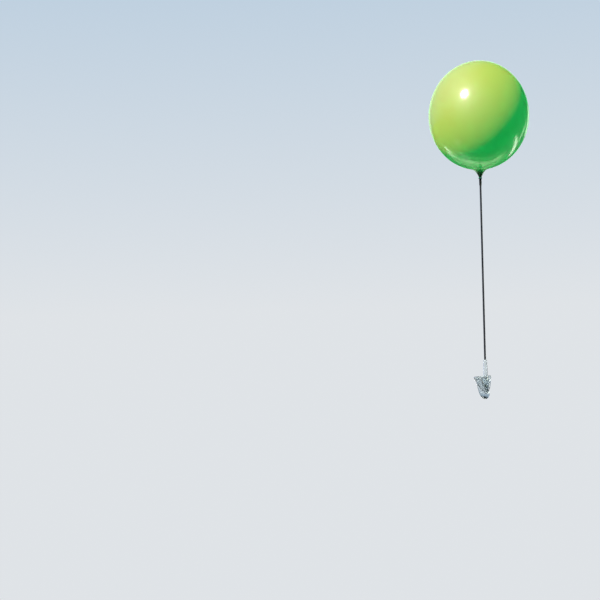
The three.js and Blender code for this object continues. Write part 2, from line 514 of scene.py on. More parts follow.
def new_group(
    name: str, inputs: dict[str, float], outputs: list[str]
) -> tuple[NodeTree, NodeBuilder]:
    """An empty shader node group with number sockets.

    Args:
        name: The group's name.
        inputs: Each input's name and usual value.
        outputs: Each output's name.

    Returns:
        The group and a builder for it.
    """
    group = bpy.data.node_groups.new(name, "ShaderNodeTree")
    for label, value in inputs.items():
        socket = group.interface.new_socket(label, in_out="INPUT", socket_type="NodeSocketFloat")
        socket.default_value = value
    for label in outputs:
        group.interface.new_socket(label, in_out="OUTPUT", socket_type="NodeSocketFloat")
    return group, NodeBuilder(group)


def mottle_group() -> NodeTree:
    """Soft cloudy variation from 0 to 1, as of a wall that isn't evenly thick.

    Returns:
        The group.
    """
    name = "mottle"
    if name in bpy.data.node_groups:
        return bpy.data.node_groups[name]
    group, build = new_group(name, {"Scale": 10.0, "Detail": 3.0}, ["Mask"])
    inlet = build.add("NodeGroupInput").outputs
    clouds = build.noise(build.place(), inlet["Scale"], inlet["Detail"], rough=0.45)
    build.add("NodeGroupOutput", {"Mask": clouds})
    return group


def scuff_group() -> NodeTree:
    """Fine handling scratches, rubbed patches and dust on the faces that look up.

    Returns:
        The group.
    """
    name = "scuff"
    if name in bpy.data.node_groups:
        return bpy.data.node_groups[name]
    usual = {"Scale": 60.0, "Smooth": 0.1, "Scuffed": 0.3, "Dust": 0.2}
    group, build = new_group(name, usual, ["Roughness", "Height", "Mask"])
    inlet = build.add("NodeGroupInput").outputs
    place = build.place()
    finer, thinner, scratch_level, scratch_width = 3.0, (1.0, 1.0, 0.07), 0.56, 0.006
    scratches = []
    for turned in ((0.3, 0.2, 0.5), (-0.5, 0.4, -0.6)):
        inputs = {"Vector": place, "Rotation": turned, "Scale": thinner}
        stretched = build.add("ShaderNodeMapping", inputs).outputs["Vector"]
        scale = build.maths("MULTIPLY", inlet["Scale"], finer)
        lines = build.noise(stretched, scale, detail=1.0)
        offset = build.maths("ABSOLUTE", build.maths("SUBTRACT", lines, scratch_level))
        scratches.append(build.maths("LESS_THAN", offset, scratch_width))
    patch_edge, rubbed_share = (0.42, 0.68), 0.35
    patchy = build.map_range(build.noise(place, inlet["Scale"], detail=5.0), *patch_edge)
    facing = build.height(build.add("ShaderNodeNewGeometry").outputs["Normal"])
    upward = build.maths("MULTIPLY", build.maths("MAXIMUM", facing), patchy)
    dust = build.maths("MULTIPLY", upward, inlet["Dust"])
    rubbed = build.maths("ADD", build.maths("MAXIMUM", *scratches), rubbed_share)
    worn = build.maths("MULTIPLY", patchy, rubbed)
    mask = build.maths("ADD", worn, dust)
    spread = build.maths("SUBTRACT", inlet["Scuffed"], inlet["Smooth"])
    rough = build.maths("ADD", build.maths("MULTIPLY", mask, spread), inlet["Smooth"])
    build.add("NodeGroupOutput", {"Roughness": rough, "Height": worn, "Mask": mask})
    return group


def new_material(name: str) -> tuple[Material, NodeBuilder, Node]:
    """A material with one Principled shader.

    Args:
        name: The material's name.

    Returns:
        The material, a builder for its nodes and the shader.
    """
    material = bpy.data.materials.new(name)
    material.use_nodes = True
    build = NodeBuilder(material.node_tree)
    return material, build, material.node_tree.nodes["Principled BSDF"]


def shade(colour: Colour, factor: float) -> list[float]:
    """A colour made darker or lighter."""
    return [min(level * factor, 1) for level in colour]


@dataclass(frozen=True)
class Wear:
    """The scratches, rubbed patches and dust on a finish.

    Its two roughnesses are those of the clean surface and of the worn one, and its dust is how
    much lies on faces that look up.
    """

    scale: float
    smooth: float
    scuffed: float
    dust: float = 0.2

    def lay(self, build: NodeBuilder) -> bpy.types.bpy_prop_collection:
        """Adds the wear to a material.

        Args:
            build: The material's builder.

        Returns:
            The outputs Roughness, Height and Mask.
        """
        inputs = {"Scale": self.scale, "Smooth": self.smooth, "Scuffed": self.scuffed}
        inputs["Dust"] = self.dust
        return build.add("ShaderNodeGroup", inputs, node_tree=scuff_group()).outputs


@dataclass(frozen=True)
class VinylFinish:
    """Glossy dyed vinyl, lime where light falls on it and emerald where light comes through it.

    The lit wall has two colours, for its thin and thick places. The share says how much light
    passes through. The neck's colour and the light through it are painted darker, as painted
    shade in the funnel under the balloon, full below the lower neck height and gone above the
    upper.
    """

    thin: Colour = (0.87, 0.64, 0.11)
    thick: Colour = (0.87, 0.64, 0.04)
    through: Colour = (0.0, 0.83, 0.37)
    # Painted shade: the neck's own colours darken the funnel under the balloon.
    neck: Colour = (0.01, 0.11, 0.05)
    neck_shade_through: Colour = (0.0, 0.14, 0.06)
    share: float = 0.55
    neck_shade_low: float = 0.745
    neck_shade_high: float = 0.774
    cloud_scale: float = 9.0
    peel_scale: float = 45.0
    peel_depth: float = 0.12 * MM
    wear: Wear = Wear(22.0, 0.60, 0.70)

    def build(self) -> Material:
        """Makes the material.

        Returns:
            The material.
        """
        material, build, shader = new_material("green_vinyl")
        # Painted shade: the map is 0 in the neck and 1 above it, so the funnel is painted dark.
        rise = build.map_range(build.height(build.place()), self.neck_shade_low, self.neck_shade_high)
        wall = build.blend(build.mottle(self.cloud_scale), self.thin, self.thick)
        look = {
            "Base Color": build.blend(rise, self.neck, wall),
            "Roughness": self.wear.lay(build)["Roughness"],
            "Normal": build.bump(build.mottle(self.peel_scale, detail=1.0), self.peel_depth),
            "IOR": 2.2,
            "Diffuse Roughness": 0.8,
            "Coat Weight": 1.0,
            "Coat Roughness": 0.155,
            "Coat IOR": 1.9,
        }
        build.feed(shader, look)
        # The light through the neck is darkened too, as painted shade.
        passed = build.blend(rise, self.neck_shade_through, self.through)
        glow = build.add("ShaderNodeBsdfTranslucent", {"Color": passed})
        both = build.blend_shaders(self.share, shader.outputs["BSDF"], glow.outputs["BSDF"])
        build.feed(material.node_tree.nodes["Material Output"], {"Surface": both})
        return material


@dataclass(frozen=True)
class ClearPlasticFinish:
    """Clear moulded polycarbonate with handling scratches."""

    tint: Colour = (0.76, 0.82, 0.84)
    scratch_depth: float = 0.004 * MM
    wear: Wear = Wear(90.0, 0.06, 0.30, dust=0.4)

    def build(self) -> Material:
        """Makes the material.

        Returns:
            The material.
        """
        material, build, shader = new_material("clear_plastic")
        scuff = self.wear.lay(build)
        look = {
            "Base Color": self.tint,
            "Transmission Weight": 0.93,
            "IOR": 1.58,
            "Roughness": scuff["Roughness"],
            "Normal": build.bump(scuff["Height"], self.scratch_depth),
        }
        build.feed(shader, look)
        return material


@dataclass(frozen=True)
class TubeFinish:
    """Satin black drawn tube, with fine streaks along its length."""

    colour: Colour = (0.008, 0.010, 0.014)
    streak: Colour = (0.022, 0.026, 0.034)
    worn: Colour = (0.036, 0.040, 0.048)
    streak_scale: Place = (900, 900, 14)
    streak_depth: float = 0.04 * MM
    wear: Wear = Wear(120.0, 0.28, 0.5)

    def build(self) -> Material:
        """Makes the material.

        Returns:
            The material.
        """
        material, build, shader = new_material("black_tube")
        inputs = {"Vector": build.place(), "Scale": self.streak_scale}
        stretched = build.add("ShaderNodeMapping", inputs).outputs["Vector"]
        fibres = build.noise(stretched, scale=1.0)
        streaky = build.blend(fibres, self.colour, self.streak)
        scuff = self.wear.lay(build)
        look = {
            "Base Color": build.blend(scuff["Mask"], streaky, self.worn),
            "Roughness": scuff["Roughness"],
            "Normal": build.bump(fibres, self.streak_depth),
        }
        build.feed(shader, look)
        return material


@dataclass(frozen=True)
class MouldedFinish:
    """Plain moulded plastic with faint clouds and a fine grain."""

    name: str
    colour: Colour
    worn: Colour
    wear: Wear
    cloudiness: float = 0.2
    cloud_scale: float = 160.0
    grain_scale: float = 2500.0
    grain_depth: float = 0.02 * MM

    def build(self) -> Material:
        """Makes the material.

        Returns:
            The material.
        """
        material, build, shader = new_material(self.name)
        dark, light = (shade(self.colour, 1 + way * self.cloudiness) for way in (-1, 1))
        cloudy = build.blend(build.mottle(self.cloud_scale), dark, light)
        scuff = self.wear.lay(build)
        look = {
            "Base Color": build.blend(scuff["Mask"], cloudy, self.worn),
            "Roughness": scuff["Roughness"],
            "Normal": build.bump(build.mottle(self.grain_scale), self.grain_depth),
        }
        build.feed(shader, look)
        return material


@dataclass(frozen=True)
class PlatedSteelFinish:
    """Bright zinc plate with duller clouds, brushed a little by the driver."""

    colour: Colour = (0.66, 0.67, 0.68)
    dullness: float = 0.75
    cloud_scale: float = 700.0
    wear: Wear = Wear(400.0, 0.25, 0.5)

    def build(self) -> Material:
        """Makes the material.

        Returns:
            The material.
        """
        material, build, shader = new_material("plated_steel")
        dull = shade(self.colour, self.dullness)
        look = {
            "Metallic": 1.0,
            "Base Color": build.blend(build.mottle(self.cloud_scale), dull, self.colour),
            "Roughness": self.wear.lay(build)["Roughness"],
        }
        build.feed(shader, look)
        return material


@dataclass
class DressedPiece:
    """What the pieces of the display have in common."""

    finish: Material

    def dress(self, piece: Object, slot: str, body: Body, *nodes: str) -> Object:
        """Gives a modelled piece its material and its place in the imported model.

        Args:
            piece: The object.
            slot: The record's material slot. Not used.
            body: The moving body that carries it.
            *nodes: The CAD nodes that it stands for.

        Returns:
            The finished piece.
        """
        piece.data.materials.clear()
        piece.data.materials.append(self.finish)
        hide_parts(*nodes)
        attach(piece, body.value)
        return piece


# Clip


@dataclass
class WindowClip(DressedPiece):
    """The clear moulding that hooks on: outer plate, bridge and inner tongue in one piece.

    Its sizes are in the upright position, with y across the slot and z up along it. The plate's
    long sides end at its shoulder, from where it narrows to its waist and then to its tip.
    """

    slot_width: float = 6 * MM
    plate_half: float = 48 * MM
    plate_thickness: float = 2.5 * MM
    shoulder_z: float = -3 * MM
    waist_half: float = 27 * MM
    waist_z: float = -42 * MM
    tip_z: float = -65 * MM
    shoulder_round: float = 1.6 * MM
    waist_round: float = 7 * MM
    tip_round: float = 5 * MM
    rim_width: float = 2.2 * MM
    rim_height: float = 1.4 * MM
    bridge_thickness: float = 3 * MM
    bridge_overlap: float = 0.6 * MM
    tongue_half: float = 30 * MM
    tongue_thickness: float = 2.4 * MM
    tongue_tip_z: float = -81 * MM
    tongue_round: float = 2 * MM
    edge_round: float = 0.3 * MM

    def plate(self) -> Object:
        """Models the outer plate: a box cut to a shield, with its front sunk inside a rim.

        Returns:
            The plate.
        """
        back = -self.slot_width / 2
        low = (-self.plate_half, back - self.plate_thickness - self.rim_height, self.tip_z)
        high = (self.plate_half, back, self.bridge_thickness + GAP)
        piece = block("clip_moulding", low, high)
        corners = [
            (self.plate_half, self.shoulder_z, self.shoulder_round),
            (self.waist_half, self.waist_z, self.waist_round),
            (0.0, self.tip_z, self.tip_round),
        ]
        for (x0, z0, _), (x1, z1, _) in zip(corners, corners[1:]):
            for side in (1, -1):
                cut_away(piece, (side * x0, 0, z0), (side * (z0 - z1), 0, x1 - x0))
        for x, _, radius in corners:
            round_corners(piece, radius, segments=5, wanted=lambda at: abs(abs(at.x) - x) < TOUCH)
        with editing(piece, Part.FACES):
            inset_front(piece, self.rim_width)
            bpy.ops.transform.translate(value=(0, self.rim_height, 0))
        return piece

    def tongue(self) -> Object:
        """Models the inner tongue: a strap with a round end.

        Returns:
            The tongue.
        """
        face = self.slot_width / 2
        top = self.bridge_thickness + GAP
        low = (-self.tongue_half, face, self.tongue_tip_z)
        piece = block("tongue", low, (self.tongue_half, face + self.tongue_thickness, top))
        nearly_half, lowest = self.tongue_half * 0.999, self.tongue_tip_z + TOUCH
        round_corners(piece, nearly_half, segments=14, wanted=lambda at: at.z < lowest)
        upper = self.bridge_thickness
        round_corners(piece, self.tongue_round, segments=4, wanted=lambda at: at.z > upper)
        return piece

    def build(self) -> Object:
        """Models the moulding and puts it on the clip's body.

        Returns:
            The finished piece.
        """
        piece = self.plate()
        reach = self.slot_width / 2 + self.bridge_overlap
        high = (self.tongue_half, reach, self.bridge_thickness)
        carve(piece, block("bridge", (-self.tongue_half, -reach, 0), high), Carve.JOIN)
        carve(piece, self.tongue(), Carve.JOIN)
        soften(piece, self.edge_round)
        lean(piece)
        nodes = ("clip_outer_plate", "clip_bridge", "clip_inner_tongue")
        return self.dress(piece, "clear_plastic", Body.CLIP, *nodes)


@dataclass
class RodPost(DressedPiece):
    """The clear tapered post with its V-shaped foot and its spigot.

    The foot's sizes are in the clip's upright position. Each rounding is told in rings, by how
    far they lie from the radius and height of the end that it rounds.
    """

    back_y: float = -5.8 * MM
    foot_half: float = 19 * MM
    foot_top_z: float = -4 * MM
    foot_shoulder_z: float = -27 * MM
    foot_tip_z: float = -60 * MM
    foot_depth: float = 14 * MM
    tip_depth: float = 3.5 * MM
    foot_round: float = 2 * MM
    floor: float = 2.5 * MM
    wall: float = 2.2 * MM
    screw_z: float = -34 * MM
    hole_r: float = 2.3 * MM
    hole_sides: int = 32
    hole_length: float = 20 * MM
    base_r: float = 8.4 * MM
    top_r: float = 6.4 * MM
    bottom_z: float = -16 * MM
    top_z: float = 65 * MM
    spigot_r: float = 1.75 * MM
    base_rounding: Rings = rings_mm(-1.5, 0, -0.4, 0.5, 0, 1.5)
    shoulder_rounding: Rings = rings_mm(0, -0.8, -0.25, -0.2, -0.8, 0)
    spigot_rounding: Rings = rings_mm(0, -1, -0.8, 0)
    edge_round: float = 0.35 * MM

    def foot(self) -> Object:
        """Models the foot: a box cut to a point, sloped in front and hollowed there.

        Returns:
            The foot, in the clip's upright position.
        """
        front = self.back_y - self.foot_depth
        high = (self.foot_half, self.back_y, self.foot_top_z)
        piece = block("foot", (-self.foot_half, front, self.foot_tip_z), high)
        point_rise = self.foot_shoulder_z - self.foot_tip_z
        whole_rise = self.foot_top_z - self.foot_tip_z
        for side in (1, -1):
            cut_away(piece, (0, 0, self.foot_tip_z), (side * point_rise, 0, -self.foot_half))
        slope = (0, -whole_rise, self.tip_depth - self.foot_depth)
        cut_away(piece, (0, front, self.foot_top_z), slope)
        round_corners(piece, self.foot_round, segments=4)
        with editing(piece, Part.FACES):
            inset_front(piece, self.wall)
            bpy.ops.mesh.extrude_region_move()
            floor_at = (0, self.back_y - self.floor, 0)
            bpy.ops.transform.resize(value=(1, 0, 1), center_override=floor_at)
        return piece

    def shaft(self) -> Object:
        """Models the post and spigot, cut flat behind where they meet the plate.

        Returns:
            The shaft, in the clip's upright position.
        """
        spigot_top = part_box("rod_post")[1].z
        profile = [
            *rings_near(self.base_r, self.bottom_z, self.base_rounding),
            (self.base_r, 0.0),
            *rings_near(self.top_r, self.top_z, self.shoulder_rounding),
            (self.spigot_r, self.top_z),
            *rings_near(self.spigot_r, spigot_top, self.spigot_rounding),
        ]
        piece = turn("rod_post_moulding", profile)
        lean(piece, SLOT_LEAN)
        cut_away(piece, (0, self.back_y, 0), (0, 1, 0))
        return piece

    def build(self) -> Object:
        """Models the post and puts it on the clip's body.

        Returns:
            The finished piece.
        """
        piece = self.shaft()
        carve(piece, self.foot(), Carve.JOIN)
        deselect_all()
        bpy.ops.mesh.primitive_cylinder_add(
            vertices=self.hole_sides,
            radius=self.hole_r,
            depth=self.hole_length,
            location=(0, self.back_y, self.screw_z),
            rotation=(math.pi / 2, 0, 0),
        )
        carve(piece, bpy.context.object, Carve.CUT)
        soften(piece, self.edge_round)
        lean(piece)
        return self.dress(piece, "clear_plastic", Body.CLIP, "rod_post")


@dataclass
class PostScrew(DressedPiece):
    """The small cross-head screw in the foot.

    The head's dome is told in rings, as shares of its radius and height.
    """

    centre_z: float = -34 * MM
    seat_y: float = -8.6 * MM
    end_y: float = -3.3 * MM
    shank_r: float = 2 * MM
    shank_edge: float = 0.4 * MM
    head_r: float = 3.8 * MM
    head_height: float = 2.6 * MM
    head_dome: Rings = ((1, 0), (1, 0.45), (0.93, 0.72), (0.75, 0.9), (0.4, 0.99))
    recess_arm: float = 2.1 * MM
    recess_half: float = 0.42 * MM
    recess_depth: float = 1.5 * MM

    def build(self) -> Object:
        """Models the screw and puts it on the clip's body.

        Returns:
            The finished piece.
        """
        length = self.end_y - self.seat_y
        profile = [
            (self.shank_r - self.shank_edge, -length),
            (self.shank_r, self.shank_edge - length),
            (self.shank_r, 0.0),
            *((self.head_r * out, self.head_height * up) for out, up in self.head_dome),
        ]
        piece = turn("post_screw_fine", profile)
        piece.matrix_world = (
            Matrix.Translation((0, self.seat_y, self.centre_z))
            @ Matrix.Rotation(math.pi / 2, 4, "X")
            @ Matrix.Translation(-ROD_AXIS)
        )
        settle(piece)
        face = self.seat_y - self.head_height
        arms = ((self.recess_arm, self.recess_half), (self.recess_half, self.recess_arm))
        for across, along in arms:
            low = (-across, face - self.recess_depth, self.centre_z - along)
            high = (across, face + self.recess_depth, self.centre_z + along)
            carve(piece, block("recess", low, high), Carve.CUT)
        smooth(piece, degrees=40)
        lean(piece)
        return self.dress(piece, "steel", Body.CLIP, "post_screw")


# Rod


@dataclass
class CarrierRod(DressedPiece):
    """The hollow black rod."""

    bore_r: float = 2.1 * MM
    edge: float = 0.25 * MM

    def build(self) -> Object:
        """Models the rod with broken edges and puts it on its body.

        Returns:
            The finished piece.
        """
        low, high = ROD_BOX
        radius = (high.x - low.x) / 2
        profile = [
            (self.bore_r + self.edge, low.z),
            (radius - self.edge, low.z),
            (radius, low.z + self.edge),
            (radius, high.z - self.edge),
            (radius - self.edge, high.z),
            (self.bore_r + self.edge, high.z),
            (self.bore_r, high.z - self.edge),
            (self.bore_r, low.z + self.edge),
        ]
        piece = turn("rod_tube", profile, closed=True)
        smooth(piece, degrees=30)
        return self.dress(piece, "black_tube", Body.ROD, "rod")


# Balloon


@dataclass
class Ferrule(DressedPiece):
    """The black socket that turns on the rod's end, with its grip grooves."""

    bore_r: float = 3.75 * MM
    shoulder_z: float = 731 * MM
    stub_r: float = 1.8 * MM
    edge: float = 0.3 * MM
    groove_count: int = 3
    groove: float = 0.35 * MM
    groove_pitch: float = 2.2 * MM
    groove_start: float = 2.5 * MM

    def build(self) -> Object:
        """Models the ferrule and puts it on the balloon's body.

        Returns:
            The finished piece.
        """
        low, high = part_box("ferrule")
        radius = (high.x - low.x) / 2
        roof = ROD_BOX[1].z + GAP
        profile = [
            (self.bore_r / 2, roof),
            (self.bore_r, roof),
            (self.bore_r, low.z + self.edge),
            (self.bore_r + self.edge, low.z),
            (radius - self.edge, low.z),
            (radius, low.z + self.edge),
        ]
        for i in range(self.groove_count):
            base = low.z + self.groove_start + i * self.groove_pitch
            for step, sunk in enumerate((0, 1, 1, 0)):
                profile.append((radius - sunk * self.groove, base + step * self.groove))
        profile += [
            (radius, self.shoulder_z - self.edge),
            (radius - self.edge, self.shoulder_z),
            (self.stub_r, self.shoulder_z),
            (self.stub_r, high.z - self.edge),
            (self.stub_r - self.edge, high.z),
        ]
        piece = turn("ferrule_socket", profile)
        smooth(piece, degrees=30)
        return self.dress(piece, "black_plastic", Body.BALLOON, "ferrule")


@dataclass
class ValvePlug(DressedPiece):
    """The pale stopper in the balloon's neck, with its collar."""

    bore_r: float = 2.1 * MM
    bore_top_z: float = 746.3 * MM
    collar_top_z: float = 736.5 * MM
    collar_steps: int = 8
    stopper_r: float = 4 * MM
    stopper_edge: float = 0.8 * MM

    def build(self) -> Object:
        """Models the plug and puts it on the balloon's body.

        Returns:
            The finished piece.
        """
        low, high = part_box("valve_plug")
        radius = (high.x - low.x) / 2
        centre = (low.z + self.collar_top_z) / 2
        bulge = (self.collar_top_z - low.z) / 2
        turns = [math.pi * (i / self.collar_steps - 0.5) for i in range(self.collar_steps + 1)]
        profile = [
            (self.bore_r / 2, self.bore_top_z),
            (self.bore_r, self.bore_top_z),
            (self.bore_r, low.z),
            *((radius - bulge * (1 - math.cos(t)), centre + bulge * math.sin(t)) for t in turns),
            (self.stopper_r, self.collar_top_z),
            (self.stopper_r, high.z - self.stopper_edge),
            (self.stopper_r - self.stopper_edge, high.z),
        ]
        piece = turn("valve_plug_fine", profile)
        smooth(piece, degrees=40)
        return self.dress(piece, "pale_plastic", Body.BALLOON, "valve_plug")


def ease(values: np.ndarray, start: float, end: float) -> np.ndarray:
    """Goes evenly from 0 at the start to 1 at the end, which may be the lower one."""
    return np.clip((values - start) / (end - start), 0, 1)


def waves(angle: np.ndarray, terms: Waves) -> np.ndarray:
    """Adds up waves round the neck, each with its height, its count and its phase."""
    return sum(height * np.sin(count * angle + phase) for height, count, phase in terms)


def ridges(angle: np.ndarray, count: int, drift: Waves, sharpness: int) -> np.ndarray:
    """Ridges round the neck from 0 to 1, drifting from even places and narrower when sharper."""
    return (0.5 + 0.5 * np.cos(count * (angle + waves(angle, drift)))) ** sharpness


@dataclass
class Envelope(DressedPiece):
    """The inflated balloon with its funnel neck.

    The round form would reach as far as underside below its widest ring, but gives way to the
    neck within opening_r. The funnel runs from there down to the mouth, whose rings turn in and
    close the bore above the plug. Each rise and fade holds the distances from the axis between
    which puckers or creases begin and end, and each drift is how unevenly they are spaced.
    """

    widest_z: float = 962 * MM
    underside: float = 197 * MM
    opening_r: float = 27.8 * MM
    funnel: Rings = rings_mm(
        24.8, 765.4, 21, 762.8, 16.6, 758.3, 13.2, 753.9, 10.4, 749,
        7.9, 744.2, 6.2, 741.1, 5.6, 738.9, 5.5, 737.8,
    )
    mouth: Rings = rings_mm(5.4, 737.2, 5.1, 736.9, 4.7, 736.9, 4.4, 737.3, 4.4, 752.6)
    sides: int = 120
    rings: int = 72
    gather_top_z: float = 862 * MM
    fold_count: int = 13
    fold_depth: float = 2.2 * MM
    fold_rise: Span = (7 * MM, 22 * MM)
    fold_fade: Span = (78 * MM, 22 * MM)
    fold_drift: Waves = ((0.16, 3, 0.7), (0.09, 5, 2.1))
    fold_usual: float = 0.65
    fold_swing: Waves = ((0.35, 2, 1.3),)
    crease_count: int = 31
    crease_depth: float = 0.5 * MM
    crease_rise: Span = (8 * MM, 16 * MM)
    crease_fade: Span = (44 * MM, 18 * MM)
    crease_drift: Waves = ((0.11, 4, 0.3),)

    def ellipsoid(self) -> Object:
        """Starts from a sphere, stretched by halves to the balloon's height, open at the neck.

        Returns:
            The open shell.
        """
        low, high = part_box("balloon")
        radius = (high.x - low.x) / 2
        centre = on_axis(self.widest_z)
        deselect_all()
        bpy.ops.mesh.primitive_uv_sphere_add(
            segments=self.sides, ring_count=self.rings, radius=radius, location=centre
        )
        piece = take_new("balloon_envelope")

        def in_half(vert: bmesh.types.BMVert) -> bool:
            """Whether a vertex is in the half that is being stretched."""
            return side * (vert.co.z - self.widest_z) > TOUCH

        def in_opening(vert: bmesh.types.BMVert) -> bool:
            """Whether a vertex is where the neck goes."""
            return vert.co.z < self.widest_z and (vert.co - ROD_AXIS).xy.length < self.opening_r

        with editing(piece, Part.VERTS):
            for side, reach in ((1, high.z - self.widest_z), (-1, self.underside)):
                pick(piece, Part.VERTS, in_half)
                bpy.ops.transform.resize(value=(1, 1, reach / radius), center_override=centre)
            pick(piece, Part.VERTS, in_opening)
            bpy.ops.mesh.delete(type="VERT")
        return piece

    def add_rings(self, piece: Object, rings: Rings, cap: bool) -> None:
        """Extrudes rings from the shell's open edge.

        Args:
            piece: The open shell.
            rings: Radius and height of each new ring.
            cap: Whether the last ring is closed with a face.
        """
        verts = piece.data.vertices
        low = min(vert.co.z for vert in verts) + TOUCH
        edge_r = max((vert.co - ROD_AXIS).xy.length for vert in verts if vert.co.z < low)
        with editing(piece, Part.EDGES):
            pick(piece, Part.EDGES, lambda edge: max(vert.co.z for vert in edge.verts) < low)
            extrude_rings((edge_r, low - TOUCH), rings, cap)

    def gather(self, piece: Object) -> None:
        """Draws uneven puckers and creases into the vinyl, fading up the underside.

        Args:
            piece: The envelope with its neck.
        """
        places = np.empty(len(piece.data.vertices) * 3)
        piece.data.vertices.foreach_get("co", places)
        places = places.reshape(-1, 3)
        x, y = places[:, 0] - ROD_AXIS.x, places[:, 1] - ROD_AXIS.y
        radius, angle = np.hypot(x, y), np.arctan2(y, x)
        rise, fade = ease(radius, *self.fold_rise), ease(radius, *self.fold_fade)
        weight = rise * rise * (3 - 2 * rise) * fade * fade
        fold = ridges(angle, self.fold_count, self.fold_drift, sharpness=2)
        share = self.fold_usual + waves(angle, self.fold_swing)
        close_in = ease(radius, *self.crease_rise) * ease(radius, *self.crease_fade)
        crease = ridges(angle, self.crease_count, self.crease_drift, sharpness=3)
        lift = self.fold_depth * weight * fold * share + self.crease_depth * close_in * crease
        places[:, 2] += lift * (places[:, 2] < self.gather_top_z)
        piece.data.vertices.foreach_set("co", places.ravel())
        piece.data.update()

    def build(self) -> Object:
        """Models the envelope and puts it on the balloon's body.

        Returns:
            The finished piece.
        """
        piece = self.ellipsoid()
        self.add_rings(piece, self.funnel, cap=False)
        apply_modifier(piece, "SUBSURF", levels=1, render_levels=1)
        self.add_rings(piece, self.mouth, cap=True)
        self.gather(piece)
        smooth(piece, degrees=50)
        return self.dress(piece, "green_vinyl", Body.BALLOON, "balloon")


# Studio


def hang_lamp(light: bpy.types.Light, way: Vector, at: Vector) -> Object:
    """Hangs a lamp.

    Args:
        light: What shines in it.
        way: Direction to it from what it lights.
        at: Its place.

    Returns:
        The lamp.
    """
    lamp = bpy.data.objects.new(light.name, light)
    bpy.context.collection.objects.link(lamp)
    lamp.location = at
    lamp.rotation_euler = way.to_track_quat("Z", "Y").to_euler()
    return lamp


@dataclass(frozen=True)
class Card:
    """A pale card that shows only as a reflection on the glossy pieces.

    It hangs at an azimuth, from +Y towards +X as seen from the balloon, and at an elevation. These
    and its width and height are in degrees. A low card hangs closer, above the floor. Its power
    is in watts for a square metre at brightness 1.
    """

    azimuth: float
    elevation: float
    width: float
    height: float
    brightness: float
    distance: float = 3.0
    power: float = 4.0
    colour: Colour = (0.94, 1.0, 0.82)

    def hang(self, middle: Vector) -> None:
        """Hangs the card as a lamp that lights nothing matt.

        Args:
            middle: The place that it faces.
        """
        turned, raised = math.radians(self.azimuth), math.radians(self.elevation)
        level = math.cos(raised)
        way = Vector((math.sin(turned) * level, math.cos(turned) * level, math.sin(raised)))
        light = bpy.data.lights.new("card", "AREA")
        light.shape = "ELLIPSE"
        light.size = 2 * self.distance * math.tan(math.radians(self.width / 2))
        light.size_y = 2 * self.distance * math.tan(math.radians(self.height / 2))
        light.energy = self.power * light.size * light.size_y * self.brightness
        light.color = self.colour
        lamp = hang_lamp(light, way, middle + way * self.distance)
        lamp.visible_camera = False
        lamp.visible_diffuse = False
        lamp.visible_transmission = False


@dataclass(frozen=True)
class SunLamp:
    """A far lamp, which either lights the pieces or is mirrored as a bright spot on their gloss."""

    name: str
    strength: float
    width: float
    way: Place
    mirrored: bool
    colour: Colour = (1.0, 0.95, 0.85)

    def hang(self) -> None:
        """Hangs the lamp."""
        light = bpy.data.lights.new(self.name, "SUN")
        light.energy = self.strength
        light.angle = math.radians(self.width)
        light.color = self.colour
        lamp = hang_lamp(light, Vector(self.way), Vector())
        lamp.visible_glossy = self.mirrored
        lamp.visible_diffuse = not self.mirrored
        lamp.visible_transmission = not self.mirrored


@dataclass(frozen=True)
class DomePatch:
    """A soft round patch of the dome, which only the gloss shows.

    It is full within the inner angle from its middle and ends at the outer one, in degrees.
    """

    way: Place
    inner: float
    outer: float
    colour: Colour
    strength: float

    def share(self, build: NodeBuilder) -> Socket:
        """Tells the patch from the rest of the dome.

        Args:
            build: The world's builder.

        Returns:
            A socket that is 1 in the patch and 0 outside it.
        """
        ends = (math.cos(math.radians(angle)) for angle in (self.outer, self.inner))
        return build.map_range(build.dot(build.place("Generated"), self.way), *ends)


